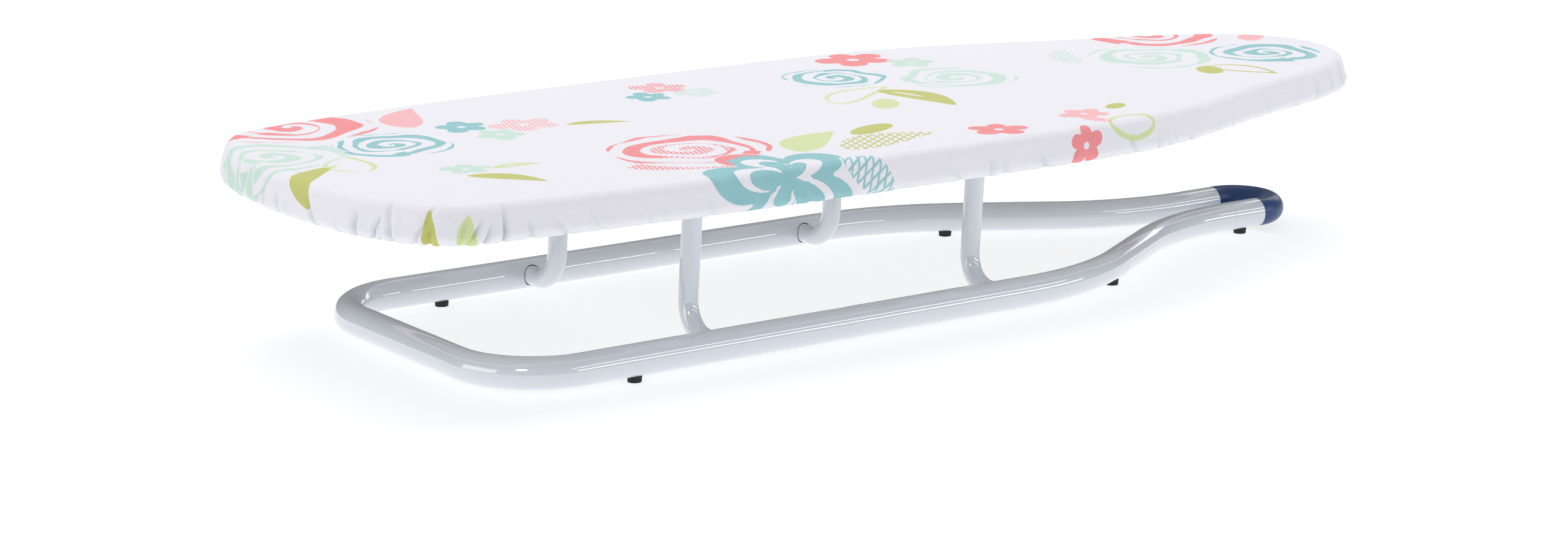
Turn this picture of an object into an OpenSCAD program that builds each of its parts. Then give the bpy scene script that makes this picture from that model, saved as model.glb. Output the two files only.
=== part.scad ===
// Tabletop ironing board. A padded board in a fitted cotton cover stands on two bent-rod
// links, which swing in a loop of bent tube and keep the board level as it folds down.
// Millimetres. +X runs from the square heel to the nose, +Y is left, +Z is up.
// The origin is on the table, under the middle of the board.

/* [Board] */
// Length of the board over its cover
board_len = 785.1; // [700:0.1:950]
// Width of the board over its cover, at its widest
board_w = 300; // [250:1:380]
// Height of the ironing surface above the table
board_h = 119.9; // [110:0.1:180]
// How far the heel's corners sit back from the middle of the heel
heel_bow = 25; // [18:1:32]
// Distance from the heel at which the sides begin
shoulder_x = 80; // [70:1:100]
// Width at the heel corners, as a share of the widest
heel_share = 0.754; // [0.72:0.001:0.78]
// Width where the sides begin, as a share of the widest
shoulder_share = 0.908; // [0.88:0.001:0.94]
// Distance from the heel to the widest place, as a share of the length
widest_share = 0.476; // [0.42:0.01:0.52]
// Length of the nose curve
nose_len = 164; // [150:1:180]
// Width where the nose curve begins, as a share of the widest
nose_share = 0.746; // [0.7:0.001:0.78]

/* [Cover and pad] */
// Thickness of the cover with its hem
cover_t = 1.2; // [0.8:0.1:2]
// Depth of the cover's skirt, from the ironing surface to the hem
skirt_h = 22; // [21:0.5:30]
// Width of the hem that turns in under the board
hem_turn = 22; // [14:1:24]
// Thickness of the felt pad
pad_t = 5.3; // [3:0.1:8]
// Width of the elastic in the hem
elastic_w = 4.5; // [3:0.5:6]
// Thickness of the elastic
elastic_t = 1.2; // [0.8:0.1:1.5]
// Space between the cover and what it wraps
fabric_gap = 0.3; // [0.2:0.05:0.5]

/* [Deck and rim] */
// Thickness of the expanded steel deck
deck_t = 1; // [0.6:0.1:1.5]
// Length of a diamond opening in the deck
opening_len = 46; // [30:1:48]
// Width of a diamond opening in the deck
opening_w = 20; // [12:1:24]
// Thickness of steel between two rows of openings
strand_w = 5; // [4:0.5:8]
// Height of the rim channel
rim_h = 12; // [11:0.5:13]
// Sheet thickness of the rim
rim_t = 1.2; // [0.8:0.1:1.5]
// Width of the rim's top flange, over the deck's edge
rim_top_w = 8; // [6:0.5:10]
// Width of the rim's bottom return
rim_return_w = 4; // [3:0.5:6]

/* [Rails and saddles] */
// Width of each cross rail
rail_w = 44; // [42:1:60]
// Depth of each cross rail
rail_h = 6; // [5:0.5:6]
// Sheet thickness of the cross rails
rail_t = 1.2; // [1:0.1:1.5]
// Thickness of the saddle straps
strap_t = 1.5; // [1:0.1:2]
// Width of each saddle strap
strap_w = 16; // [12:1:20]
// Distance from the middle of the board to the middle of each saddle
saddle_y = 36; // [26:1:38]
// Distance between a saddle's two rivets
rivet_pitch = 30; // [28:0.5:34]
// Diameter of a rivet's shank
rivet_d = 4; // [3:0.5:4.5]
// Diameter of a rivet's head
rivet_head_d = 7; // [6:0.5:8]
// Height of a rivet's head
rivet_head_h = 1.4; // [1:0.1:2]
// How far the stop lugs hang below the rail
lug_drop = 21; // [18:1:24]
// Width of a stop lug
lug_w = 14; // [10:1:18]
// Thickness of a stop lug
lug_t = 1.5; // [1:0.1:2]

/* [Links] */
// Diameter of the link tube
rod_d = 12; // [10:0.5:14]
// Wall of the link tube
rod_wall = 1.2; // [1:0.1:2]
// Bend radius of a link, to the middle of its tube
link_bend_r = 20; // [18:1:22]
// Distance from the heel to the rear pivot
rear_pivot = 224; // [210:1:240]
// Distance between the rear and front pivots
pivot_spacing = 208; // [180:1:215]
// Forward lean of the links, past upright, where they rest on their stops
lean = 3.4; // [1:0.1:5]
// Distance from the middle of the base to the middle of a leg
leg_y = 72; // [66:0.5:76]
// Radial clearance of a link in its holes and saddles
pivot_gap = 0.5; // [0.3:0.05:0.6]

/* [Base] */
// Diameter of the base tube
tube_d = 19; // [17:0.5:23]
// Wall of the base tube
tube_wall = 1.2; // [1:0.1:2]
// Distance from the heel of the board to the rear cross tube
base_rear = 80; // [70:1:100]
// Bend radius of the two rear corners
corner_r = 50; // [40:1:60]
// Distance from the middle of the base to the middle of a side tube
side_half = 108.5; // [105:0.5:120]
// Distance from the heel of the board at which the sides begin to sweep in
sweep_start = 448; // [440:1:460]
// Bend radius of each sweep
sweep_r = 180; // [150:5:190]
// Angle of each sweep
sweep_a = 31; // [28:1:34]
// Distance from the middle of the base to the middle of a nose tube
nose_half = 22; // [18:0.5:26]
// Distance from the heel of the board to the open ends of the tube
tube_end = 718; // [714:1:740]
// Straight length of the plastic bend before it turns
bend_lead = 3; // [0:1:20]
// Length of the plastic bend's spigots, inside the tube
spigot_len = 24; // [22:1:28]
// Clearance of a spigot in the tube
spigot_gap = 0.1; // [0.05:0.05:0.3]

/* [Feet] */
// Height of the base tube above the table
foot_h = 3; // [2.5:0.5:6]
// Diameter of a foot where it meets the tube
foot_d = 9; // [7:0.5:10]
// Diameter of a foot on the table
sole_d = 8; // [6:0.5:9]
// Diameter of a foot's stem
stem_d = 4.8; // [4:0.1:5]
// Diameter of the barb that holds a stem in the tube
barb_d = 6.2; // [5.6:0.1:6.4]
// Clearance of a stem in its hole, and of a foot's top on the tube
foot_gap = 0.1; // [0.05:0.05:0.2]
// Distances from the heel of the board to the heel, middle and nose feet
heel_foot = 164; // [155:1:200]
mid_foot = 537; // [530:1:545]
nose_foot = 704; // [702:1:706]

/* [Hidden] */
$fn = 64;

white_coat = "whitesmoke";
zinc = "silver";
over = 1; // how far a cutting shape runs past what it cuts
bend_thin = 0.1; // how much each face of the wall draws in round a sweep
lap_a = 0.2; // how far a sweep laps into the straight tube at each end, in degrees

heel_x = -board_len / 2;
tube_r = tube_d / 2;
bore_r = tube_r - tube_wall;
tube_z = foot_h + tube_r;
rod_r = rod_d / 2;
hole_r = rod_r + pivot_gap;

// The board's layers, from the top down
rim_inset = cover_t + fabric_gap;
rim_top = board_h - cover_t - fabric_gap - pad_t;
deck_top = rim_top - rim_t;
rail_top = deck_top - deck_t;
rail_bottom = rail_top - rail_h;
hem_z = board_h - skirt_h;
wall_inset = rim_inset + rim_t + fabric_gap;

// The links, from a pivot in the base to the bar under the board
bar_z = rail_bottom - hole_r;
link_len = (bar_z - tube_z) / cos(lean);
bar_shift = (bar_z - tube_z) * tan(lean);
pin_end = side_half + 2;
rear_x = heel_x + rear_pivot;
front_x = rear_x + pivot_spacing;

// The base tube's sweep: an arc, a straight run and an arc back
sweep_drop = sweep_r * (1 - cos(sweep_a));
slant_len = (side_half - nose_half - 2 * sweep_drop) / sin(sweep_a);
sweep_x = heel_x + sweep_start;
slant_x = sweep_x + sweep_r * sin(sweep_a);
level_x = slant_x + slant_len * cos(sweep_a) + sweep_r * sin(sweep_a);
end_x = heel_x + tube_end;
back_x = heel_x + base_rear;

// The outline of the board, as cubic curves from the heel round the left side to the nose
half_w = board_w / 2;
heel_y = half_w * heel_share;
side_y = half_w * shoulder_share;
nose_y = half_w * nose_share;
nose_x = board_len - nose_len;
widest_x = board_len * widest_share;
CURVES = [
    [[0, 0], [0, 0.48 * heel_y], [0.4 * heel_bow, 0.81 * heel_y], [heel_bow, heel_y]],
    [[heel_bow, heel_y], [1.42 * heel_bow, 1.133 * heel_y], [0.56 * shoulder_x, side_y - 5], [shoulder_x, side_y]],
    [[shoulder_x, side_y], [shoulder_x + 70, side_y + 10], [0.7 * widest_x, half_w], [widest_x, half_w]],
    [[widest_x, half_w], [0.8 * nose_x, half_w], [nose_x - 90, nose_y + 37], [nose_x, nose_y]],
    [[nose_x, nose_y], [nose_x + 60, nose_y - 24.7], [board_len, 0.69 * nose_y], [board_len, 0]]
];
STEPS = 12; // points along each curve

function curve_at(c, t) =
    pow(1 - t, 3) * c[0] + 3 * pow(1 - t, 2) * t * c[1] + 3 * (1 - t) * t * t * c[2] + pow(t, 3) * c[3];

function curve_dir(c, t) =
    pow(1 - t, 2) * (c[1] - c[0]) + 2 * (1 - t) * t * (c[2] - c[1]) + t * t * (c[3] - c[2]);

// A point on the outline, moved in by inset at right angles to the edge
function edge_at(c, t, inset) =
    let (p = curve_at(c, t), d = curve_dir(c, t), n = [-d[1], d[0]] / norm(d))
    [heel_x, 0] + p - inset * n;

function half_outline(inset) = concat(
    [for (c = CURVES) for (i = [0 : STEPS - 1]) edge_at(c, i / STEPS, inset)],
    [[heel_x + board_len - inset, 0]]
);

function outline(inset) =
    let (half = half_outline(inset), last = len(half) - 1)
    concat(half, [for (i = [last - 1 : -1 : 1]) [half[i][0], -half[i][1]]]);

// Middle line of a side tube: its distance from the middle of the base, and its direction
function tube_y(x) =
    x < sweep_x ? side_half :
    x < slant_x ? side_half - sweep_r + sqrt(pow(sweep_r, 2) - pow(x - sweep_x, 2)) :
    x < level_x - sweep_r * sin(sweep_a) ? side_half - sweep_drop - (x - slant_x) * tan(sweep_a) :
    x < level_x ? nose_half + sweep_r - sqrt(pow(sweep_r, 2) - pow(level_x - x, 2)) :
    nose_half;

function tube_dir(x) = atan2(tube_y(x + 0.5) - tube_y(x - 0.5), 1);

// A slab of the board's outline between two heights
module slab(inset, low, high) {
    translate([0, 0, low])
        linear_extrude(height = high - low)
            polygon(outline(inset));
}

// A straight length of tube or bar along +X, and a bend about +Z from angle a0 over angle a
module straight(r_out, r_in, length) {
    rotate([90, 0, 90])
        linear_extrude(height = length)
            section(r_out, r_in);
}

module bend(r_out, r_in, bend_r, a0, a) {
    rotate([0, 0, a0])
        rotate_extrude(angle = a)
            translate([bend_r, 0])
                section(r_out, r_in);
}

module section(r_out, r_in) {
    difference() {
        circle(r = r_out);
        if (r_in > 0) circle(r = r_in);
    }
}

// One side of the base tube, from the middle of the rear cross tube to the open end
module base_side() {
    translate([back_x, 0, 0])
        rotate([0, 0, 90])
            straight(tube_r, bore_r, side_half - corner_r);
    translate([back_x + corner_r, side_half - corner_r, 0])
        bend(tube_r, bore_r, corner_r, 90, 90);
    translate([back_x + corner_r, side_half, 0])
        straight(tube_r, bore_r, sweep_x - back_x - corner_r);
    translate([sweep_x, side_half - sweep_r, 0])
        sweep(90 - sweep_a);
    translate([slant_x, side_half - sweep_drop, 0])
        rotate([0, 0, -sweep_a])
            straight(tube_r, bore_r, slant_len);
    translate([level_x, nose_half + sweep_r, 0])
        sweep(270 - sweep_a);
    translate([level_x, nose_half, 0])
        straight(tube_r, bore_r, end_x - level_x);
}

module sweep(a0) {
    bend(tube_r - bend_thin, bore_r + bend_thin, sweep_r, a0 - lap_a, sweep_a + 2 * lap_a);
}

module stem_hole(x, y, r) {
    translate([x, y, 0])
        cylinder(r = r, h = tube_z);
}

module base_tube() {
    color(white_coat)
        difference() {
            translate([0, 0, tube_z]) {
                base_side();
                mirror([0, 1, 0]) base_side();
            }
            for (side = [-1, 1]) {
                for (x = [rear_x, front_x])
                    translate([x, side * side_half, tube_z])
                        rotate([side * 90, 0, 0])
                            cylinder(r = hole_r, h = tube_r + over);
                for (x = [heel_foot, mid_foot, nose_foot])
                    stem_hole(heel_x + x, side * tube_y(heel_x + x), stem_d / 2 + foot_gap);
            }
        }
}

// The plastic bend closes the loop, and its spigots are locked by the nose feet's stems
module nose_bend() {
    color("midnightblue")
        difference() {
            translate([0, 0, tube_z]) {
                translate([end_x + bend_lead, 0, 0])
                    bend(tube_r, 0, nose_half, -90, 180);
                for (side = [-1, 1]) {
                    translate([end_x, side * nose_half, 0])
                        straight(tube_r, 0, bend_lead);
                    translate([end_x - spigot_len, side * nose_half, 0])
                        straight(bore_r - spigot_gap, 0, spigot_len);
                }
            }
            for (side = [-1, 1])
                stem_hole(heel_x + nose_foot, side * nose_half, barb_d / 2 + foot_gap);
        }
}

// A rubber foot: a tapered pad hollowed to the tube, and a barbed stem through the tube's wall
module foot(from_heel, side) {
    x = heel_x + from_heel;
    grip_z = tube_z - sqrt(pow(bore_r, 2) - pow(barb_d / 2, 2)) + foot_gap;
    color("black")
        translate([x, side * tube_y(x), 0]) {
            difference() {
                cylinder(d1 = sole_d, d2 = foot_d, h = foot_h + tube_wall);
                translate([0, 0, tube_z])
                    rotate([0, 0, side * tube_dir(x)])
                        translate([-foot_d, 0, 0])
                            straight(tube_r + foot_gap, 0, 2 * foot_d);
            }
            rotate_extrude()
                polygon([
                    [0, foot_h / 2], [stem_d / 2, foot_h / 2], [stem_d / 2, grip_z],
                    [barb_d / 2, grip_z], [barb_d / 2, grip_z + 1], [stem_d / 4, grip_z + 3], [0, grip_z + 3]
                ]);
        }
}

// A link: a pin in each side tube, a bend, a leg, a bend and half of the bar under the board
module link_half() {
    translate([0, leg_y + link_bend_r, 0])
        rotate([0, 0, 90])
            straight(rod_r, rod_r - rod_wall, pin_end - leg_y - link_bend_r);
    translate([0, leg_y + link_bend_r, link_bend_r])
        rotate([90, 0, 90])
            bend(rod_r, rod_r - rod_wall, link_bend_r, 180, 90);
    translate([0, leg_y, link_bend_r])
        rotate([0, -90, 0])
            straight(rod_r, rod_r - rod_wall, link_len - 2 * link_bend_r);
    translate([0, leg_y - link_bend_r, link_len - link_bend_r])
        rotate([90, 0, 90])
            bend(rod_r, rod_r - rod_wall, link_bend_r, 0, 90);
    translate([0, 0, link_len])
        rotate([0, 0, 90])
            straight(rod_r, rod_r - rod_wall, leg_y - link_bend_r);
}

module link(pivot_x) {
    color(white_coat)
        translate([pivot_x, 0, tube_z])
            rotate([0, lean, 0]) {
                link_half();
                mirror([0, 1, 0]) link_half();
            }
}

// The deck is expanded sheet: rows of diamond openings, each row half a step along
module deck() {
    step_x = opening_len + 2 * strand_w;
    step_y = opening_w + 2 * strand_w;
    inner = half_outline(wall_inset + rim_top_w);
    rows = floor(half_w / (step_y / 2));
    columns = ceil(board_len / step_x / 2);
    color(zinc)
        translate([0, 0, rail_top])
            linear_extrude(height = deck_t)
                difference() {
                    polygon(outline(wall_inset));
                    for (row = [-rows : rows], column = [-columns : columns]) {
                        x = column * step_x + (row % 2 == 0 ? 0 : step_x / 2);
                        y = row * step_y / 2;
                        room = min(
                            lookup(x - opening_len / 2, inner),
                            lookup(x + opening_len / 2, inner),
                            lookup(x, inner) - opening_w / 2
                        );
                        if (abs(y) < room && abs(x) < board_len / 2 - opening_len)
                            translate([x, y]) diamond();
                    }
                }
}

module diamond() {
    polygon([[-opening_len / 2, 0], [0, -opening_w / 2], [opening_len / 2, 0], [0, opening_w / 2]]);
}

// The rim is a folded channel: its top flange clamps the deck, its return stiffens the edge
module rim() {
    rim_z = rim_top - rim_h;
    color(white_coat)
        difference() {
            slab(rim_inset, rim_z, rim_top);
            slab(rim_inset + rim_t, rim_z + rim_t, rim_top - rim_t);
            slab(rim_inset + rim_top_w, rim_top - 2 * rim_t, rim_top + over);
            slab(rim_inset + rim_return_w, rim_z - over, rim_z + 2 * rim_t);
        }
}

// A cross rail: an upward channel from wall to wall, with two lugs behind the link's legs
module rail(pivot_x) {
    bar_x = pivot_x + bar_shift;
    lug_face = bar_x - rod_r / cos(lean) - lug_drop * tan(lean) - fabric_gap;
    color(white_coat)
        difference() {
            union() {
                intersection() {
                    translate([bar_x - rail_w / 2, -half_w, rail_bottom])
                        cube([rail_w, board_w, rail_h]);
                    slab(wall_inset, rail_bottom - over, rail_top + over);
                }
                for (side = [-1, 1])
                    translate([lug_face - lug_t, side * leg_y - lug_w / 2, rail_bottom - lug_drop])
                        cube([lug_t, lug_w, lug_drop + rail_t]);
            }
            translate([bar_x - rail_w / 2 + rail_t, -half_w - over, rail_bottom + rail_t])
                cube([rail_w - 2 * rail_t, board_w + 2 * over, rail_h]);
            rivet_places(bar_x)
                cylinder(d = rivet_d + 2 * foot_gap, h = 4 * rail_t, center = true);
        }
}

// Puts its children at the rail's underside, on the axis of each of four rivets
module rivet_places(bar_x) {
    for (side = [-1, 1], end = [-1, 1])
        translate([bar_x + end * rivet_pitch / 2, side * saddle_y, rail_bottom])
            children();
}

// A saddle: a strap round the bar, open above, with a wing on each side under the rail
module saddle(pivot_x, side) {
    bar_x = pivot_x + bar_shift;
    wing = rivet_pitch / 2 + rivet_head_d / 2 + 0.5;
    color(zinc)
        difference() {
            translate([bar_x, side * saddle_y + strap_w / 2, bar_z])
                rotate([90, 0, 0])
                    linear_extrude(height = strap_w)
                        difference() {
                            union() {
                                circle(r = hole_r + strap_t);
                                translate([-hole_r - strap_t, 0])
                                    square([2 * (hole_r + strap_t), hole_r]);
                                translate([-wing, hole_r - strap_t])
                                    square([2 * wing, strap_t]);
                            }
                            circle(r = hole_r);
                            translate([-hole_r, 0])
                                square([2 * hole_r, hole_r + strap_t + over]);
                        }
            rivet_places(bar_x)
                cylinder(d = rivet_d + 2 * foot_gap, h = 4 * strap_t, center = true);
        }
}

// Four rivets: a head under each wing, a shank, and an upset head on top of the rail's web
module rivets(pivot_x) {
    color(zinc)
        rivet_places(pivot_x + bar_shift)
            rotate_extrude()
                polygon([
                    [0, -strap_t - rivet_head_h], [rivet_d / 2, -strap_t - rivet_head_h],
                    [rivet_head_d / 2, -strap_t - rivet_head_h / 3], [rivet_head_d / 2, -strap_t],
                    [rivet_d / 2, -strap_t], [rivet_d / 2, rail_t], [0.8 * rivet_head_d / 2, rail_t],
                    [0.8 * rivet_head_d / 2, rail_t + rivet_head_h / 2], [0, rail_t + rivet_head_h / 2]
                ]);
}

module pad() {
    color("gainsboro")
        slab(rim_inset, rim_top, rim_top + pad_t);
}

// The cover: the top, the skirt and the hem that turns in under the rim
module cover() {
    color("lavenderblush")
        difference() {
            slab(0, hem_z, board_h);
            slab(cover_t, hem_z + cover_t, board_h - cover_t);
            slab(hem_turn, hem_z - over, hem_z + 2 * cover_t);
        }
}

module hem_elastic() {
    color("white")
        difference() {
            slab(hem_turn - elastic_w, hem_z + cover_t, hem_z + cover_t + elastic_t);
            slab(hem_turn, hem_z, hem_z + 3 * cover_t + elastic_t);
        }
}

base_tube();
nose_bend();
foot(heel_foot, 1);  // foot_heel_left
foot(heel_foot, -1);  // foot_heel_right
foot(mid_foot, 1);  // foot_mid_left
foot(mid_foot, -1);  // foot_mid_right
foot(nose_foot, 1);  // foot_nose_left
foot(nose_foot, -1);  // foot_nose_right
link(rear_x);  // rear_link
link(front_x);  // front_link
deck();
rim();
rail(rear_x);  // rear_rail
rail(front_x);  // front_rail
saddle(rear_x, 1);  // rear_saddle_left
saddle(rear_x, -1);  // rear_saddle_right
saddle(front_x, 1);  // front_saddle_left
saddle(front_x, -1);  // front_saddle_right
rivets(rear_x);  // rear_rivets
rivets(front_x);  // front_rivets
pad();
cover();
hem_elastic();
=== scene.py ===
import math

import bpy
import numpy as np
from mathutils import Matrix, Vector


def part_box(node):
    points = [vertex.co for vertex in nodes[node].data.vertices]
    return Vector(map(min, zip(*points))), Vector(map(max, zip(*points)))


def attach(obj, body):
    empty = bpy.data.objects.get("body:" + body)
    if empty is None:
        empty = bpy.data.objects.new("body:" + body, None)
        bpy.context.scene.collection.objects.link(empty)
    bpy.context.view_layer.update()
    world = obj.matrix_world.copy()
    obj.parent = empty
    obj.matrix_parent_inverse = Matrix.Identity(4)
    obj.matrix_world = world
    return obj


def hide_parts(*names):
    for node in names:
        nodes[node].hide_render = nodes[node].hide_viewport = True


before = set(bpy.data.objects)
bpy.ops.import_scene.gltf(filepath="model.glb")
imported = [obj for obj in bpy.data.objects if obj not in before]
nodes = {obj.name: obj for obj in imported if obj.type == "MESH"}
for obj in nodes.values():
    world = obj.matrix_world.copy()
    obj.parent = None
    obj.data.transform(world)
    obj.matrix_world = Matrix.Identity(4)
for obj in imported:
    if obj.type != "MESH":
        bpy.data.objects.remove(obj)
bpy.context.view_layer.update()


# ---- Camera: it looks along the board from the heel end, over the right side, from a
# little above the cover. The lens is long, so the far side is hardly smaller than the near.
bpy.ops.object.select_all(action="DESELECT")
bpy.ops.object.camera_add(
    location=(-1.2413, -1.6754, 0.5057),
    rotation=(math.radians(76.59), math.radians(0.0), math.radians(-35.08)),
)
camera = bpy.context.object
camera.data.sensor_width = 36
camera.data.lens = 78.74
camera.data.shift_x = 0.0140
camera.data.shift_y = -0.0015
camera.data.clip_start = 0.05
bpy.context.scene.camera = camera
bpy.context.scene.view_settings.view_transform = "Standard"


# ---- Table top and studio light: a white acrylic table lit from below, a wide soft light
# overhead, and strip lights whose reflections run along the glossy tubes.
def colour(code):
    """An sRGB hex value as linear red, green, blue and alpha."""
    shares = [int(code[i : i + 2], 16) / 255 for i in (1, 3, 5)]
    return [s / 12.92 if s <= 0.04045 else ((s + 0.055) / 1.055) ** 2.4 for s in shares] + [1]


def finish(name, base, roughness, **sockets):
    """A material whose shader has this colour and these socket values, and its node tree."""
    material = bpy.data.materials.new(name)
    material.use_nodes = True
    shader = material.node_tree.nodes["Principled BSDF"]
    shader.inputs["Base Color"].default_value = colour(base)
    shader.inputs["Roughness"].default_value = roughness
    for socket, value in sockets.items():
        shader.inputs[socket.replace("_", " ")].default_value = value
    return material, material.node_tree, shader


bpy.ops.mesh.primitive_plane_add(size=40)
floor = bpy.context.object
floor.name = "table_top"
acrylic, tree, shader = finish("lit_white_acrylic", "#9b9ca0", 0.9, Emission_Strength=0.74)
shader.inputs["Emission Color"].default_value = colour("#ffffff")
floor.data.materials.append(acrylic)

world = bpy.data.worlds.new("studio")
bpy.context.scene.world = world
world.use_nodes = True
world.node_tree.nodes["Background"].inputs["Color"].default_value = colour("#f7f9ff")
world.node_tree.nodes["Background"].inputs["Strength"].default_value = 0.26

SOFT_LIGHTS = [
    # name, place, aimed at, width, height, power in watts
    ("overhead", (0.1, 0.6, 2.6), (0, 0, 0), 3.0, 2.0, 57),
    ("high_strip", (1.5, -2.3, 1.5), (0, 0, 0.05), 3.0, 0.22, 8),
    ("low_strip", (1.7, -2.3, 0.6), (0, 0, 0.05), 3.0, 0.26, 12),
    ("heel_window", (-1.9, -1.5, 1.5), (0, 0, 0.05), 0.5, 0.5, 7),
    ("heel_wall", (-3.0, 0.3, 0.7), (0, 0, 0.05), 2.2, 1.1, 16),
    ("nose_window", (2.4, 0.9, 1.2), (0.2, 0, 0.05), 0.6, 1.6, 6),
]
for name, place, aim, width, height, power in SOFT_LIGHTS:
    bpy.ops.object.light_add(type="AREA", location=place)
    light = bpy.context.object
    light.name = name
    light.data.shape = "RECTANGLE"
    light.data.size = width
    light.data.size_y = height
    light.data.energy = power
    away = light.location - type(light.location)(aim)
    light.rotation_euler = away.to_track_quat("Z", "Y").to_euler()


# ---- Base tube, links, rim and cross rails: steel tube bent cold and steel sheet folded,
# sprayed with white polyester powder and baked. The film is glossy, with faint orange peel.
mm = 0.001  # sizes are in metres


def node(tree, kind, inputs, out=0, **settings):
    """Adds a node with its settings and its inputs, values or links, and returns one output."""
    made = tree.nodes.new("ShaderNode" + kind)
    for name, value in settings.items():
        setattr(made, name, value)
    for name, value in inputs.items():
        if isinstance(value, bpy.types.NodeSocket):
            tree.links.new(value, made.inputs[name])
        else:
            made.inputs[name].default_value = value
    return made.outputs[out]


def coat(names, material):
    """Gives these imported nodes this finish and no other."""
    for name in names:
        nodes[name].data.materials.clear()
        nodes[name].data.materials.append(material)


powder, tree, shader = finish(
    "white_powder_coat", "#dfe5eb", 0.12, Coat_Weight=1, Coat_Roughness=0.03, Coat_IOR=1.7
)
place = node(tree, "TexCoord", {}, out=3)
peel = node(tree, "TexNoise", {"Vector": place, "Scale": 420, "Detail": 2, "Roughness": 0.4})
bump = node(tree, "Bump", {"Strength": 0.05, "Distance": 0.2 * mm, "Height": peel})
tree.links.new(bump, shader.inputs["Normal"])
film = node(tree, "TexNoise", {"Vector": place, "Scale": 9, "Detail": 3})
uneven = {"Value": film, "From Min": 0.3, "From Max": 0.7, "To Min": 0.09, "To Max": 0.16}
gloss = node(tree, "MapRange", uneven)
tree.links.new(gloss, shader.inputs["Roughness"])
coat(["base_tube", "rear_link", "front_link", "rim", "rear_rail", "front_rail"], powder)


# ---- Nose bend: polypropylene, moulded in two halves of a tool and dyed navy right through.
# It is satin, faintly clouded where the plastic flowed, and has a fine spark-eroded grain.
navy, tree, shader = finish("navy_polypropylene", "#1f4373", 0.34, IOR=1.49)
place = node(tree, "TexCoord", {}, out=3)
flow = node(tree, "TexNoise", {"Vector": place, "Scale": 22, "Detail": 3, "Distortion": 0.6})
dye = node(tree, "Mix", {0: flow, 6: colour("#1a3a67"), 7: colour("#264c85")}, out=2, data_type="RGBA")
tree.links.new(dye, shader.inputs["Base Color"])
grain = node(tree, "TexNoise", {"Vector": place, "Scale": 1600, "Detail": 1})
bump = node(tree, "Bump", {"Strength": 0.12, "Distance": 0.1 * mm, "Height": grain})
tree.links.new(bump, shader.inputs["Normal"])
coat(["nose_bend"], navy)


# ---- Feet: black rubber, moulded with a barbed stem that is pulled through the tube's wall.
# The rubber is matt, and dust greys it in patches.
rubber, tree, shader = finish("black_rubber", "#161617", 0.72, IOR=1.52)
place = node(tree, "TexCoord", {}, out=3)
dust = node(tree, "TexNoise", {"Vector": place, "Scale": 260, "Detail": 4})
bloom = node(tree, "Mix", {0: dust, 6: colour("#121213"), 7: colour("#242426")}, out=2, data_type="RGBA")
tree.links.new(bloom, shader.inputs["Base Color"])
bump = node(tree, "Bump", {"Strength": 0.3, "Distance": 0.1 * mm, "Height": dust})
tree.links.new(bump, shader.inputs["Normal"])
coat([name for name in nodes if name.startswith("foot")], rubber)


# ---- Saddles and rivets: steel pressings and rivets with bright zinc plate. The plate is a
# cool grey with faint clouds where it is thicker.
zinc, tree, shader = finish("bright_zinc_plate", "#b9bdc2", 0.34, Metallic=1)
place = node(tree, "TexCoord", {}, out=3)
clouds = node(tree, "TexNoise", {"Vector": place, "Scale": 140, "Detail": 4})
plate = node(tree, "Mix", {0: clouds, 6: colour("#a9adb3"), 7: colour("#c9ccd0")}, out=2, data_type="RGBA")
tree.links.new(plate, shader.inputs["Base Color"])
dull = node(tree, "MapRange", {"Value": clouds, "To Min": 0.25, "To Max": 0.45})
tree.links.new(dull, shader.inputs["Roughness"])
coat([name for name in nodes if "saddle" in name or "rivets" in name], zinc)


# ---- Cover: printed cotton, cut larger than the board all round, with elastic in its hem.
# It lies over the pad, turns down over the soft edge and turns in under the rim, where the
# elastic gathers it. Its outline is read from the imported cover.
EDGE_R = 6 * mm  # the pad's soft top edge
FOLD_R = 5 * mm  # where the skirt turns in
TOP_RIM = 14 * mm  # how far in from the outline the flat top starts
HEM_IN = 17 * mm  # how far the hem turns in, to its casing
CASING_R = 2.2 * mm  # the casing is rolled round the elastic
low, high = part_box("cover")
SPAN = 800  # steps along half the outline
ACROSS = 120  # points across the top, from the outline's one side to the other

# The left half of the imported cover's top outline, from the heel to the nose, with one
# mirrored point past each end so that the smooth line crosses the middle squarely
corners = np.array([v.co[:] for v in nodes["cover"].data.vertices])
corners = corners[corners[:, 2] > high.z - 0.01 * mm][:, :2]
corners = np.unique(np.round(corners, 6), axis=0)
left = corners[corners[:, 1] > -0.001 * mm]
left = left[np.argsort(-np.arctan2(left[:, 1], left[:, 0]))]
left = np.vstack([[left[1] * [1, -1]], left, [left[-2] * [1, -1]]])


def smooth_line(points, count):
    """Points at equal steps along a smooth curve through the inner points of a list."""
    t = np.linspace(0, 1, 24, endpoint=False)[:, None]
    fine = []
    for a, b, c, d in zip(points, points[1:], points[2:], points[3:]):
        curve = b + t * (c - a) / 2 + t**2 * (a - 2.5 * b + 2 * c - d / 2)
        fine.append(curve + t**3 * (1.5 * (b - c) + (d - a) / 2))
    fine = np.vstack(fine + [[points[-2]]])
    along = np.concatenate([[0], np.cumsum(np.linalg.norm(np.diff(fine, axis=0), axis=1))])
    at = np.linspace(0, along[-1], count)
    return np.column_stack([np.interp(at, along, fine[:, k]) for k in (0, 1)])


def closed_outline(half_count):
    """The whole outline from the heel round the left side, with its outward directions."""
    half = smooth_line(left, half_count + 1)
    ring = np.vstack([half, half[-2:0:-1] * [1, -1]])
    along = np.roll(ring, -1, axis=0) - np.roll(ring, 1, axis=0)
    out = np.column_stack([-along[:, 1], along[:, 0]]) / np.linalg.norm(along, axis=1)[:, None]
    return ring, out


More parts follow.
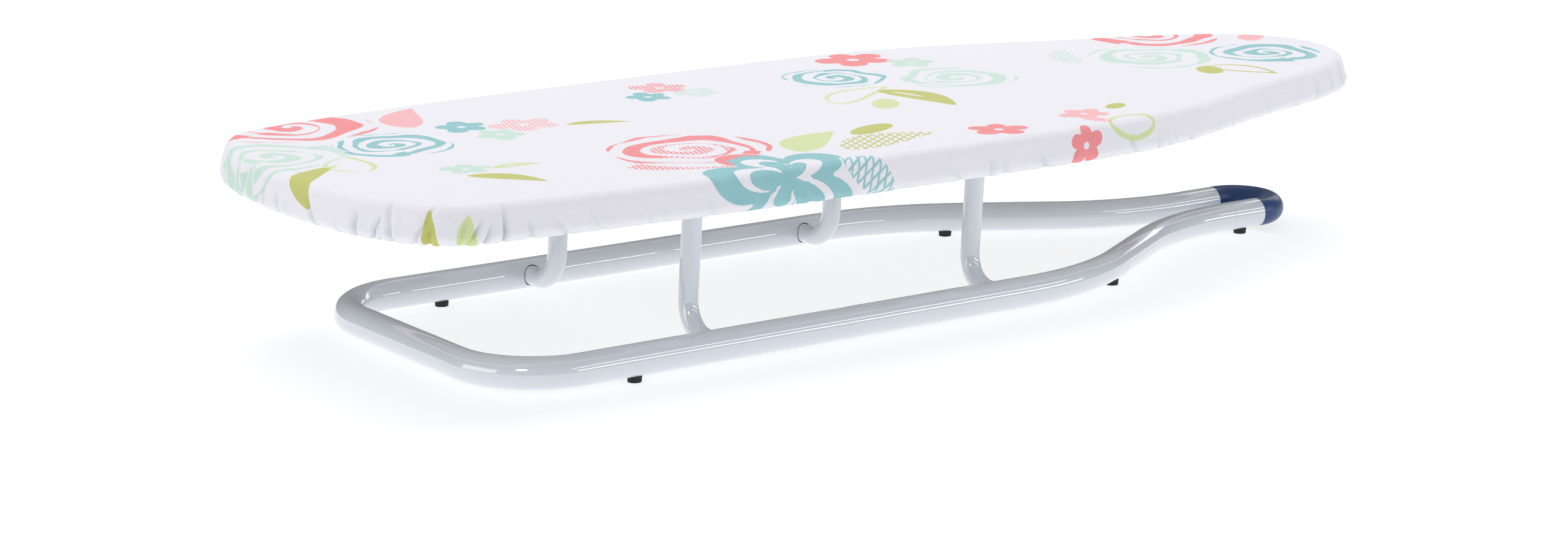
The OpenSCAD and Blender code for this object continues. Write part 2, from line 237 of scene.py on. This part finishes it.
def section():
    """The cloth's line from the top to the casing: inset, height and distance along it."""
    line = [(TOP_RIM - i * (TOP_RIM - EDGE_R) / 3, high.z) for i in range(3)]
    for i in range(7):
        a = i * math.pi / 12
        line.append((EDGE_R * (1 - math.sin(a)), high.z - EDGE_R * (1 - math.cos(a))))
    straight = high.z - EDGE_R - low.z - FOLD_R
    line += [(0, high.z - EDGE_R - straight * i / 6) for i in range(1, 6)]
    for i in range(6):
        a = i * math.pi / 10
        line.append((FOLD_R * (1 - math.cos(a)), low.z + FOLD_R * (1 - math.sin(a))))
    line += [(FOLD_R + (HEM_IN - FOLD_R) * i / 4, low.z) for i in range(1, 4)]
    for i in range(9):
        a = i * math.pi / 5.5
        line.append((HEM_IN + CASING_R * math.sin(a), low.z + CASING_R * (1 - math.cos(a))))
    line = np.array(line)
    along = np.concatenate([[0], np.cumsum(np.linalg.norm(np.diff(line, axis=0), axis=1))])
    return line[:, 0], line[:, 1], along


ring, out = closed_outline(SPAN)
inset, height, along = section()
count, rows = len(ring), len(inset)
step = np.linalg.norm(np.roll(ring, -1, axis=0) - ring, axis=1)
place_along = np.concatenate([[0], np.cumsum(step)[:-1]])
girth = step.sum()

# Gathers: narrow creases that rise from the hem, deep and close at the heel's corners and
# round the nose, where the cloth has most to spare, and shallow and slanting on the sides.
SHARP = 0.16  # sine of the outline's turn over 24 steps, where the gathers are fullest
HEM_DROP = 0.9 * mm  # the folded base leaves 2.6 mm under the hem
rng = np.random.default_rng(7)
turn = np.abs(np.cross(np.roll(out, -12, axis=0), np.roll(out, 12, axis=0)))
spare = np.convolve(np.tile(turn, 3), np.ones(41) / 41, "same")[count : 2 * count]
spare = np.clip(spare / SHARP, 0, 1)
creases = []  # place along the outline, depth, width, reach up the skirt, slant
at = 0.0
while at < girth - 6 * mm:
    here = spare[int(at / girth * count) % count]
    depth = (1.9 + 2.6 * here) * rng.uniform(0.3, 1.35) * mm
    wide = (2.1 - 0.7 * here) * rng.uniform(0.75, 1.4) * mm
    reach = (11 + 7 * here) * rng.uniform(0.4, 1.7) * mm
    slant = rng.normal(0, 0.35) + 0.5 * (1 - here)
    creases.append((at, depth, wide, reach, slant))
    at += (22 - 11 * here) * rng.uniform(0.3, 2.0) * mm
skirt_end = along[np.argmax(height <= low.z + 0.01 * mm)]
above_hem = np.clip(skirt_end - along, 0, None)[None, :]
past_hem = np.clip(along - skirt_end, 0, None)[None, :]
crease = np.zeros((count, rows))
for at, depth, wide, reach, slant in creases:
    gap = (place_along - at + girth / 2) % girth - girth / 2
    gap = gap[:, None] - slant * above_hem
    fade = np.clip(1 - above_hem / reach, 0, 1) ** 0.9
    crease += depth * fade * np.exp(-(np.abs(gap / wide) ** 1.3))
    crease -= 0.35 * depth * fade * np.exp(-(((np.abs(gap) - 2.1 * wide) / (1.3 * wide)) ** 2))
# Past the skirt the hem ruffles, in waves of these lengths in millimetres
waves = np.zeros(count)
for size in (31, 17.3, 11.7, 8.9, 6.1):
    turns = round(girth / (size * mm))
    waves += rng.uniform(0.6, 1) * np.sin(2 * math.pi * turns * place_along / girth + rng.uniform(0, 6.3))
ruffle = waves[:, None] * (0.16 + 0.3 * spare[:, None]) * mm * np.clip(past_hem / (6 * mm), 0, 1)
ruffle = np.minimum(ruffle, HEM_DROP)
# The skirt itself is slack in long shallow waves: length, height and tilt of each
slack = np.zeros((count, rows))
for size, tall, tilt in ((67, 0.22, 0.4), (43, 0.2, -0.7), (29, 0.14, 1.1), (16, 0.09, 1.6)):
    turns = round(girth / (size * mm))
    phase = 2 * math.pi * turns * (place_along[:, None] + tilt * along[None, :]) / girth
    slack += tall * mm * np.sin(phase + rng.uniform(0, 6.3))
slack *= np.clip((along[None, :] - 8 * mm) / (9 * mm), 0, 1)

# The section's outward normal at each row turns from up, through sideways, to down
d_in, d_up = np.gradient(inset), np.gradient(height)
length = np.hypot(d_in, d_up)
side, lift = -d_up / length, -d_in / length
# Between creases the skirt puffs out, but sags little under the rim, to clear the base
DEEPEST = 1.4 * mm  # the pad stops a crease from going deeper
SAG = 0.25  # how much of a puff shows downwards
bulge = (1.0 + 2.0 * spare[:, None]) * mm * np.clip((along[None, :] - 14 * mm) / (14 * mm), 0, 1)
puff = np.maximum(slack + bulge - crease, -DEEPEST)
skirt = np.empty((count, rows, 3))
reach_out = -inset[None, :] + puff * side[None, :]
skirt[:, :, 0] = ring[:, :1] + out[:, :1] * reach_out
skirt[:, :, 1] = ring[:, 1:] + out[:, 1:] * reach_out
skirt[:, :, 2] = height[None, :] + puff * np.where(lift > 0, lift, SAG * lift)[None, :] - ruffle
flat_out = (along - TOP_RIM)[None, :]
skirt_flat = np.stack([ring[:, k : k + 1] + out[:, k : k + 1] * flat_out for k in (0, 1)], axis=2)

# The flat top is a ladder of rows, each between two outline points that face each other
seam = skirt[::2, 0, :2]
half = seam[1 : len(seam) // 2]
across = np.linspace(1, -1, ACROSS)[1:-1]
top_x = np.repeat(half[:, :1], ACROSS - 2, axis=1)
top_y = half[:, 1:] * across[None, :]
# The iron leaves it a little wavy, along and across
dent = np.zeros_like(top_x)
for i in range(9):
    wave = rng.uniform(0.06, 0.28, 2) * (np.array([0.2, 1.0]) if i % 2 else np.array([1.0, 0.35])) / mm / 8
    dent += 0.05 * mm * np.sin(wave[0] * top_x + wave[1] * top_y + rng.uniform(0, 6.3))
top_z = np.full_like(top_x, high.z) + dent * (1 - np.abs(across[None, :]) ** 8)
skirt_points = skirt.reshape(-1, 3)
top_points = np.stack([top_x, top_y, top_z], axis=2).reshape(-1, 3)
cloth_points = np.vstack([skirt_points, top_points])
flat_points = np.vstack([skirt_flat.reshape(-1, 2), top_points[:, :2]])

faces = []
for k in range(1, rows - 1):
    for i in range(count):
        j = (i + 1) % count
        faces.append((i * rows + k, i * rows + k + 1, j * rows + k + 1, j * rows + k))
for i in range(0, count, 2):
    a, b, c, d = i, i + 1, (i + 2) % count, 1
    faces.append((a * rows, a * rows + 1, b * rows + 1))
    faces.append((a * rows, b * rows + 1, c * rows + 1, c * rows))
pairs = len(half)
first = count * rows


def top_index(row, column):
    """The number of a point of the ladder, whose ends are the skirt's innermost points."""
    if column == 0:
        return 2 * (row + 1) * rows
    if column == ACROSS - 1:
        return (count - 2 * (row + 1)) * rows
    return first + row * (ACROSS - 2) + column - 1


for i in range(pairs - 1):
    for k in range(ACROSS - 1):
        near, far = top_index(i, k), top_index(i + 1, k)
        faces.append((near, top_index(i, k + 1), top_index(i + 1, k + 1), far))
for k in range(ACROSS - 1):
    faces.append((0, top_index(0, k + 1), top_index(0, k)))
    faces.append((count // 2 * rows, top_index(pairs - 1, k), top_index(pairs - 1, k + 1)))


def soft_piece(name, points, faces):
    """A new piece of these points and faces, selected, with its faces turned outwards."""
    mesh = bpy.data.meshes.new(name)
    mesh.from_pydata(points, [], faces)
    piece = bpy.data.objects.new(name, mesh)
    bpy.context.scene.collection.objects.link(piece)
    bpy.ops.object.select_all(action="DESELECT")
    bpy.context.view_layer.objects.active = piece
    piece.select_set(True)
    bpy.ops.object.mode_set(mode="EDIT")
    bpy.ops.mesh.select_all(action="SELECT")
    bpy.ops.mesh.normals_make_consistent(inside=False)
    bpy.ops.object.mode_set(mode="OBJECT")
    return piece, mesh


cover, mesh = soft_piece("cotton_cover", cloth_points.tolist(), faces)
mesh.shade_smooth()
loops = np.zeros(len(mesh.loops), int)
mesh.loops.foreach_get("vertex_index", loops)
mesh.uv_layers.new(name="flat_cloth").data.foreach_set("uv", flat_points[loops].astype(np.float32).ravel())
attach(cover, "board")
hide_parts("cover")

# The print: roses, blossoms and leaves, drawn on the flat cloth. Each point of the cloth
# keeps how far it lies inside a motif, so that the edge of the ink stays sharp between
# points. Sizes here are in millimetres on the flat cloth, and later motifs lie on top.
CORAL, PINK, TEAL, MINT, OLIVE, LIME = "#f68c8f", "#fab9bc", "#8cc6cb", "#cde7d9", "#c6c866", "#d9e3a4"
ROSE, BLOSSOM, LEAF, OVAL = range(4)
SOLID, HATCHED, NET, OUTLINE = range(4)
MOTIFS = [
    # kind, ink, style, x, y, length or diameter, width, turn in degrees
    (ROSE, CORAL, SOLID, -322, 120, 104, 0, 20),
    (ROSE, MINT, SOLID, -371, 46, 90, 0, 200),
    (LEAF, PINK, SOLID, -252, 106, 62, 26, 60),
    (ROSE, TEAL, SOLID, -299, 38, 74, 0, 80),
    (LEAF, LIME, OUTLINE, -345, 3, 46, 30, 75),
    (LEAF, OLIVE, SOLID, -378, -14, 66, 16, 40),
    (LEAF, MINT, SOLID, -404, 52, 34, 9, 10),
    (LEAF, MINT, SOLID, -403, 34, 40, 8, 5),
    (LEAF, OLIVE, SOLID, -374, -131, 34, 12, 55),
    (LEAF, LIME, SOLID, -352, -143, 24, 14, 70),
    (BLOSSOM, TEAL, SOLID, -239, 62, 34, 0, 10),
    (BLOSSOM, MINT, SOLID, -232, 29, 32, 0, 40),
    (BLOSSOM, PINK, HATCHED, -205, 47, 42, 0, 25),
    (LEAF, OLIVE, SOLID, -165, 27, 40, 9, -22),
    (BLOSSOM, MINT, SOLID, -299, -46, 28, 0, 0),
    (LEAF, LIME, OUTLINE, -270, -53, 32, 9, -8),
    (LEAF, OLIVE, SOLID, -291, -80, 48, 15, -54),
    (LEAF, CORAL, HATCHED, -186, -112, 80, 30, -30),
    (ROSE, CORAL, HATCHED, -167, -72, 100, 0, 140),
    (BLOSSOM, MINT, HATCHED, -62, 76, 32, 0, 30),
    (BLOSSOM, CORAL, HATCHED, -72, 102, 38, 0, 0),
    (BLOSSOM, TEAL, SOLID, -95, 80, 30, 0, 15),
    (LEAF, LIME, SOLID, -94, -92, 64, 28, 36),
    (OVAL, OLIVE, SOLID, -44, -83, 40, 17, 22),
    (LEAF, OLIVE, NET, -56, -114, 74, 32, 8),
    (BLOSSOM, TEAL, OUTLINE, -150, -152, 104, 0, 100),
    (LEAF, TEAL, NET, -92, -162, 52, 21, -50),
    (ROSE, MINT, SOLID, 104, 24, 80, 0, 10),
    (ROSE, TEAL, SOLID, 40, 68, 70, 0, 250),
    (LEAF, LIME, OUTLINE, 17, 12, 72, 27, 26),
    (LEAF, OLIVE, SOLID, 44, -17, 70, 24, -84),
    (OVAL, LIME, SOLID, 12, -23, 34, 17, 52),
    (BLOSSOM, CORAL, SOLID, 90, 116, 50, 0, 20),
    (BLOSSOM, MINT, SOLID, 115, 86, 34, 0, 50),
    (BLOSSOM, CORAL, SOLID, 17, -127, 36, 0, 60),
    (BLOSSOM, CORAL, SOLID, 66, -158, 27, 0, 90),
    (BLOSSOM, PINK, SOLID, 90, -118, 32, 0, 30),
    (LEAF, PINK, SOLID, 86, -139, 22, 10, -60),
    (OVAL, OLIVE, SOLID, 123, -109, 20, 11, 30),
    (OVAL, LIME, OUTLINE, 106, -146, 38, 22, 0),
    (ROSE, CORAL, SOLID, 316, 78, 100, 0, 20),
    (LEAF, PINK, SOLID, 372, 34, 40, 18, 30),
    (LEAF, MINT, NET, 214, 46, 56, 20, 60),
    (ROSE, MINT, SOLID, 257, 11, 86, 0, 200),
    (ROSE, TEAL, SOLID, 332, -19, 78, 0, 80),
    (LEAF, OLIVE, OUTLINE, 276, -58, 52, 24, -68),
    (OVAL, OLIVE, SOLID, 257, -47, 28, 17, 60),
]
STROKE = 3.2  # the width of a drawn outline
KEYLINE = 1.6  # the white left round a motif that lies on another
LONG_LEAF = 66  # a leaf longer than this has a slit along its midrib
BROAD = 0.085  # half a broad outline, and a blossom's eye, as shares of the blossom's size
PETALS_IN = 0.27  # how far inside the broad outline the inner petals start
HEART_IN = 0.24  # how far inside a rose's edge its hatched heart starts
OUTSIDE = -9.0  # millimetres, further out than matters
LAYERS = ("solid", "hatched", "net", "rose_in", "heart")  # the first three are also styles
flat_mm = flat_points / mm
dye = np.tile(np.array(colour(MINT)), (len(flat_mm), 1))
rose = np.tile(np.array([2.0, 2.0, 0.0]), (len(flat_mm), 1))
inside = np.full((len(LAYERS), len(flat_mm)), OUTSIDE)
claim = np.full(len(flat_mm), -99.0)  # how deep each point lies in the motif whose dye it has
for kind, ink, style, x, y, size, width, turned in MOTIFS:
    offset = flat_mm - (x, y)
    c, s = math.cos(math.radians(turned)), math.sin(math.radians(turned))
    u, v = offset[:, 0] * c + offset[:, 1] * s, offset[:, 1] * c - offset[:, 0] * s
    share = np.clip(np.abs(2 * u / size), 0, 1)
    if kind == ROSE:
        lobes = np.sin(3 * np.arctan2(v, u) + x) + 0.6 * np.sin(5 * np.arctan2(v, u) + y)
        depth = size / 2 * (0.95 + 0.035 * lobes) - np.hypot(u, v)
    elif kind == BLOSSOM:
        around = np.arctan2(v, u)
        petal = 0.5 + 0.5 * np.abs(np.cos(2.5 * around + 0.25 * np.sin(around))) ** 0.65
        depth = size / 2 * petal * (1 + 0.08 * np.sin(2 * around + x)) - np.hypot(u, v)
    elif kind == OVAL:
        depth = (width / 2 * np.sqrt(1 - share**2) - np.abs(v)) * (1 - 0.3 * share)
    else:
        grown = np.clip(u / size + 0.5, 0, 1)
        swept = v - 0.05 * size * (1 - 2 * share**2)
        depth = width / 2 * np.sin(math.pi * grown**0.72) ** 0.85 - np.abs(swept)
    past_end = (np.abs(u) > size / 2) & (kind != BLOSSOM)
    depth = np.where(past_end, np.minimum(depth, size / 2 - np.abs(u)), depth)
    inside = np.minimum(inside, -depth - KEYLINE)
    mine = depth > claim
    claim = np.maximum(claim, depth)
    dye[mine] = colour(ink)
    drawn = depth
    if kind == BLOSSOM and style == OUTLINE:
        petals = depth - PETALS_IN * size - 0.05 * size * np.sin(3 * around)
        drawn = np.maximum(BROAD * size - np.abs(depth - BROAD * size), petals)
    elif kind == BLOSSOM:
        drawn = np.minimum(depth, np.hypot(u, v) - BROAD * size)
    elif style == OUTLINE:
        drawn = STROKE / 2 - np.abs(depth - STROKE / 2)
    elif kind == LEAF and style == SOLID and size > LONG_LEAF:
        slit = 0.07 * width * (1 - ((u + 0.18 * size) / (0.22 * size)) ** 2)
        drawn = np.minimum(depth, np.abs(swept + 0.08 * width) - np.clip(slit, OUTSIDE, -OUTSIDE))
    row = LAYERS.index("rose_in") if kind == ROSE else SOLID if style == OUTLINE else style
    inside[row] = np.maximum(inside[row], drawn)
    if kind == ROSE:
        rose[mine] = np.column_stack([u, v, np.full(len(u), x + y)])[mine] / (size / 2)
        if style == HATCHED:
            heart = LAYERS.index("heart")
            inside[heart] = np.maximum(inside[heart], depth - HEART_IN * size)
# Painted shade: each point of the skirt keeps how deep its crease is, and the cloth's colour is later
# darkened there, as the shade inside the creases
crease_shade_values = np.zeros(len(flat_mm))
crease_shade_values[: count * rows] = np.clip(crease / (4 * mm), 0, 1).ravel()
inside = np.clip(inside, OUTSIDE, -OUTSIDE)
records = [(name, "FLOAT", "value", values) for name, values in zip(LAYERS, inside)]
records += [("painted_crease_shade", "FLOAT", "value", crease_shade_values), ("rose", "FLOAT_VECTOR", "vector", rose)]
for name, kind, field, values in records + [("dye", "FLOAT_COLOR", "color", dye)]:
    kept = mesh.attributes.new(name, kind, "POINT")
    kept.data.foreach_set(field, values.astype(np.float32).ravel())

# Plain-weave cotton, printed with reactive dye through flat screens. It is matt with a weak
# sheen, the ink is a little uneven, and the threads are 0.9 mm apart here, twice the real
# spacing, so that they show.
THREAD = 0.9
cotton, tree, shader = finish(
    "printed_cotton", "#eeedf4", 0.88, Sheen_Weight=0.12, Sheen_Roughness=0.4
)
uv = node(tree, "UVMap", {}, uv_map="flat_cloth")
cloth = node(tree, "VectorMath", {0: uv, 3: 1 / mm}, operation="SCALE")
# How much ink a layer leaves: from none to all within a third of a millimetre at its edge
layer = {}
for name in LAYERS:
    edge = node(tree, "Attribute", {}, out=2, attribute_name=name)
    soft_edge = {0: edge, 1: 3.0, 2: 0.5}
    layer[name] = node(tree, "Math", soft_edge, operation="MULTIPLY_ADD", use_clamp=True)
# Parallel lines across the cloth: their turn in degrees, how far apart, and the share inked
LINES = {
    "hatch": (-18, 2.8, 0.42),
    "cross_hatch": (-64, 3.3, 0.3),
    "net_one": (-14, 4.8, 0.28),
    "net_two": (-56, 5.0, 0.28),
    "warp": (0, THREAD, 0.5),
    "weft": (90, THREAD, 0.5),
}
lines = {}
for name, (turned, period, share) in LINES.items():
    c, s = math.cos(math.radians(turned)) / period, math.sin(math.radians(turned)) / period
    across = node(tree, "VectorMath", {0: cloth, 1: (c, s, 0)}, out=1, operation="DOT_PRODUCT")
    part = node(tree, "Math", {0: across, 1: 0.5}, operation="PINGPONG")
    inked = {0: part, 1: -6.0, 2: 3.0 * share + 0.5}
    lines[name] = node(tree, "Math", inked, operation="MULTIPLY_ADD", use_clamp=True)
hatching = node(tree, "Math", {0: lines["hatch"], 1: lines["cross_hatch"]}, operation="MAXIMUM")
netting = node(tree, "Math", {0: lines["net_one"], 1: lines["net_two"]}, operation="MAXIMUM")

# A rose is one scroll wound outwards. Each turn of it is a crescent, as a brush leaves it
# that is pressed down and lifted, and starts elsewhere than the turn before.
ROSE_TURNS = 3.4
NEXT_START = 2.3  # how far round from one turn's thickest place to the next one's, in radians
SWAY = 1.5  # turns by which the noise, from 0 to 1, moves the scroll off a true spiral
local = node(tree, "Attribute", {}, out=1, attribute_name="rose")
flat_local = node(tree, "VectorMath", {0: local, 1: (1, 1, 0)}, operation="MULTIPLY")
radius = node(tree, "VectorMath", {0: flat_local}, out=1, operation="LENGTH")
spread = node(tree, "Math", {0: radius, 1: 0.8}, operation="POWER")
drift = node(tree, "TexNoise", {"Vector": local, "Scale": 1.3, "Detail": 0.6})
east = node(tree, "SeparateXYZ", {"Vector": local})
north = node(tree, "SeparateXYZ", {"Vector": local}, out=1)
angle = node(tree, "Math", {0: north, 1: east}, operation="ARCTAN2")
wound = node(tree, "Math", {0: angle, 1: 0.5 / math.pi}, operation="MULTIPLY")
turns = node(tree, "Math", {0: spread, 1: ROSE_TURNS, 2: wound}, operation="MULTIPLY_ADD")
turns = node(tree, "Math", {0: drift, 1: SWAY, 2: turns}, operation="MULTIPLY_ADD")
band = node(tree, "Math", {0: turns, 1: 0.5}, operation="PINGPONG")
ring_number = node(tree, "Math", {0: turns}, operation="ROUND")
start = node(tree, "Math", {0: ring_number, 1: NEXT_START, 2: angle}, operation="MULTIPLY_ADD")
press = node(tree, "Math", {0: start}, operation="COSINE")
swell = node(tree, "TexNoise", {"Vector": local, "Scale": 2.4, "Detail": 1.5})
thick = node(tree, "Math", {0: press, 1: 0.14, 2: 0.1}, operation="MULTIPLY_ADD")
thick = node(tree, "Math", {0: swell, 1: 0.34, 2: thick}, operation="MULTIPLY_ADD")
left_over = node(tree, "Math", {0: thick, 1: band}, operation="SUBTRACT")
scroll = node(tree, "Math", {0: left_over, 1: 16.0}, operation="MULTIPLY", use_clamp=True)
hatched_heart = node(tree, "Mix", {0: layer["heart"], 2: 1.0, 3: hatching})
scroll = node(tree, "Math", {0: scroll, 1: hatched_heart}, operation="MULTIPLY")
rose_ink = node(tree, "Math", {0: layer["rose_in"], 1: scroll}, operation="MULTIPLY")
hatched_ink = node(tree, "Math", {0: layer["hatched"], 1: hatching}, operation="MULTIPLY")
net_ink = node(tree, "Math", {0: layer["net"], 1: netting}, operation="MULTIPLY")
ink = layer["solid"]
for more in (rose_ink, hatched_ink, net_ink):
    ink = node(tree, "Math", {0: ink, 1: more}, operation="MAXIMUM")
wear = node(tree, "TexNoise", {"Vector": cloth, "Scale": 0.09, "Detail": 5, "Roughness": 0.62})
taken = node(tree, "MapRange", {"Value": wear, "To Min": 0.82, "To Max": 1.04})
ink = node(tree, "Math", {0: ink, 1: taken}, operation="MULTIPLY")
pigment = node(tree, "Attribute", {}, out=0, attribute_name="dye")
# Painted shade: the unprinted cloth turns towards grey #c3c3cd where the gathers' creases are deep
painted_crease_shade = node(tree, "Attribute", {}, out=2, attribute_name="painted_crease_shade")
cloth_and_crease_shade = {0: painted_crease_shade, 6: colour("#f0eff4"), 7: colour("#c3c3cd")}
shaded_ground = node(tree, "Mix", cloth_and_crease_shade, out=2, data_type="RGBA")
printed = node(tree, "Mix", {0: ink, 6: shaded_ground, 7: pigment}, out=2, data_type="RGBA")
weave = node(tree, "Math", {0: lines["warp"], 1: lines["weft"]}, operation="ADD")
slub = node(tree, "TexNoise", {"Vector": cloth, "Scale": 0.6, "Detail": 3})
shade = node(tree, "Math", {0: weave, 1: 0.016, 2: 0.955}, operation="MULTIPLY_ADD")
shade = node(tree, "Math", {0: slub, 1: 0.04, 2: shade}, operation="MULTIPLY_ADD")
toned = node(tree, "VectorMath", {0: printed, 3: shade}, operation="SCALE")
tree.links.new(toned, shader.inputs["Base Color"])
relief = node(tree, "Math", {0: slub, 1: 1.2, 2: weave}, operation="MULTIPLY_ADD")
bump = node(tree, "Bump", {"Strength": 0.25, "Distance": 0.12 * mm, "Height": relief})
tree.links.new(bump, shader.inputs["Normal"])
cover.data.materials.append(cotton)


# ---- Pad: needled polyester felt, cut to the rim's outline and held only by the cover. Its
# top edge is worn round, and short fibres stand up all over it.
felt, tree, shader = finish("needled_felt", "#d8d5cd", 0.95, Sheen_Weight=0.25)
place = node(tree, "TexCoord", {}, out=3)
stretch = node(tree, "Mapping", {"Vector": place, "Scale": (1, 2.6, 2.6), "Rotation": (0, 0, 0.5)})
fibre = node(tree, "TexNoise", {"Vector": stretch, "Scale": 520, "Detail": 5, "Distortion": 1.5})
fluff = node(tree, "Mix", {0: fibre, 6: colour("#c9c5bb"), 7: colour("#e6e3dc")}, out=2, data_type="RGBA")
tree.links.new(fluff, shader.inputs["Base Color"])
bump = node(tree, "Bump", {"Strength": 0.5, "Distance": 0.4 * mm, "Height": fibre})
tree.links.new(bump, shader.inputs["Normal"])
pad_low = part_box("pad")[0]
PAD_TUCK = 2 * mm  # how far in from the cover's outline the pad stops
PAD_ROUND = 5 * mm  # its worn top edge
PAD_FOOT = 0.6 * mm  # its cut bottom edge
PAD_RINGS = (16 * mm, 30 * mm)  # rings of points on its flat faces, closed straight across
pad_top = high.z - 0.5 * mm
pad_ring, pad_out = closed_outline(160)
profile = [(PAD_TUCK + PAD_RINGS[1], pad_low.z)]
profile += [(PAD_TUCK + PAD_FOOT, pad_low.z), (PAD_TUCK, pad_low.z + PAD_FOOT)]
for i in range(6):
    a = i * math.pi / 10
    profile.append((PAD_TUCK + PAD_ROUND * (1 - math.cos(a)), pad_top - PAD_ROUND * (1 - math.sin(a))))
profile += [(PAD_TUCK + inward, pad_top) for inward in PAD_RINGS]
levels = []
for inward, z in profile:
    level = pad_ring - pad_out * inward
    levels.append(np.column_stack([level, np.full(len(level), z)]))
points = np.vstack(levels)
n = len(pad_ring)
faces = []
for k in range(len(levels) - 1):
    for i in range(n):
        j = (i + 1) % n
        faces.append((k * n + i, k * n + j, (k + 1) * n + j, (k + 1) * n + i))
for k in (0, len(levels) - 1):
    for i in range(n // 2):
        a, b, c, d = k * n + i, k * n + i + 1, k * n + (n - i - 1) % n, k * n + (n - i) % n
        faces.append([p for q, p in enumerate((a, b, c, d)) if p not in (a, b, c, d)[:q]])
pad, mesh = soft_piece("felt_pad", points.tolist(), [f for f in faces if len(f) > 2])
bpy.ops.object.shade_smooth_by_angle(angle=math.radians(40))
mesh.materials.append(felt)
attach(pad, "board")
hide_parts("pad")


# ---- Deck: expanded steel mesh, slit and stretched into diamonds and then rolled flat. It
# is cut to the rim's inside and clamped under the rim's top flange.
DIAMOND = (20 * mm, 9.6 * mm)  # corner to corner, along and across the board
STRAND = 1.9 * mm  # a strand's width
SHEET = 0.9 * mm  # the steel's thickness
CELLS = 72  # diamonds each way in the sheet that the deck is cut from
DECK_IN = 3.2 * mm  # the deck's edge, from the cover's outline
deck_low, deck_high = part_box("deck")
flat_z = (deck_low.z + deck_high.z) / 2
bpy.ops.object.select_all(action="DESELECT")
side = CELLS * math.sqrt(0.5)
bpy.ops.mesh.primitive_grid_add(x_subdivisions=CELLS, y_subdivisions=CELLS, size=side)
deck = bpy.context.object
deck.name = "expanded_deck"
bpy.ops.object.mode_set(mode="EDIT")
bpy.ops.mesh.select_all(action="SELECT")
bpy.ops.transform.rotate(value=math.radians(45), orient_axis="Z", center_override=(0, 0, 0))
bpy.ops.transform.resize(value=(DIAMOND[0], DIAMOND[1], 1), center_override=(0, 0, 0))
bpy.ops.transform.translate(value=(0, 0, flat_z))
bpy.ops.mesh.select_all(action="DESELECT")
bpy.ops.object.mode_set(mode="OBJECT")
deck_line = (pad_ring - pad_out * DECK_IN)[: len(pad_ring) // 2 + 1]
deck_end = deck_line[-1, 0]
for vertex in deck.data.vertices:
    x, y = vertex.co.x, vertex.co.y
    room = np.interp(x, deck_line[:, 0], deck_line[:, 1])
    beyond = max(abs(x) - deck_end, abs(y) - room)
    vertex.select = bool(beyond > 0.6 * DIAMOND[1] or abs(x) > deck_end + 0.3 * DIAMOND[0])
    vertex.co.x = min(max(x, deck_line[0, 0]), deck_end)
    room = np.interp(vertex.co.x, deck_line[:, 0], deck_line[:, 1])
    vertex.co.y = min(max(y, -room), room)
bpy.ops.object.mode_set(mode="EDIT")
bpy.ops.mesh.delete(type="VERT")
bpy.ops.mesh.select_all(action="SELECT")
bpy.ops.mesh.remove_doubles(threshold=0.3 * mm)
bpy.ops.object.mode_set(mode="OBJECT")
strands = deck.modifiers.new("strands", "WIREFRAME")
strands.thickness = STRAND
strands.use_even_offset = False
strands.use_boundary = True
bpy.ops.object.modifier_apply(modifier=strands.name)
for vertex in deck.data.vertices:
    vertex.co.z = flat_z + (vertex.co.z - flat_z) * SHEET / STRAND
deck.data.materials.append(zinc)
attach(deck, "board")
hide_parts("deck")


# ---- Hem elastic: braided round rubber threads, flat, stretched as it is sewn in. It lies
# in the hem's casing and follows the hem's waves.
elastic, tree, shader = finish("braided_elastic", "#e9e8e4", 0.8)
rib = node(tree, "Attribute", {}, out=2, attribute_name="along_mm")
braid = node(tree, "Math", {0: rib, 1: 0.8}, operation="PINGPONG")
shade = node(tree, "Mix", {0: braid, 6: colour("#d3d2cd"), 7: colour("#f0efec")}, out=2, data_type="RGBA")
tree.links.new(shade, shader.inputs["Base Color"])
bump = node(tree, "Bump", {"Strength": 0.6, "Distance": 0.2 * mm, "Height": braid})
tree.links.new(bump, shader.inputs["Normal"])
BAND = [(-2.0, -0.3), (-1.6, -0.6), (1.6, -0.6), (2.0, -0.3)]  # half its section, in millimetres
BAND += [(-across_mm, -up_mm) for across_mm, up_mm in BAND]
NARROWED = 0.55  # the casing squeezes the band
TILTED = 0.4  # how far it rises across its width, as a share of the width
hang = ruffle[::2, -1]
loop_points, loop_along = [], []
ring_half, out_half = ring[::2], out[::2]
for i in range(len(ring_half)):
    for across_mm, up_mm in BAND:
        spot = ring_half[i] - out_half[i] * (HEM_IN + across_mm * NARROWED * mm)
        lift_mm = up_mm + TILTED * across_mm
        loop_points.append((spot[0], spot[1], low.z + CASING_R + lift_mm * mm - hang[i]))
        loop_along.append(place_along[2 * i] / mm)
m, n = len(BAND), len(ring_half)
faces = []
for i in range(n):
    for k in range(m):
        j, q = (i + 1) % n, (k + 1) % m
        faces.append((i * m + k, i * m + q, j * m + q, j * m + k))
band, mesh = soft_piece("hem_elastic_band", loop_points, faces)
ribs = mesh.attributes.new("along_mm", "FLOAT", "POINT")
ribs.data.foreach_set("value", np.array(loop_along, np.float32))
mesh.shade_smooth()
mesh.materials.append(elastic)
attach(band, "board")
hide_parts("hem_elastic")
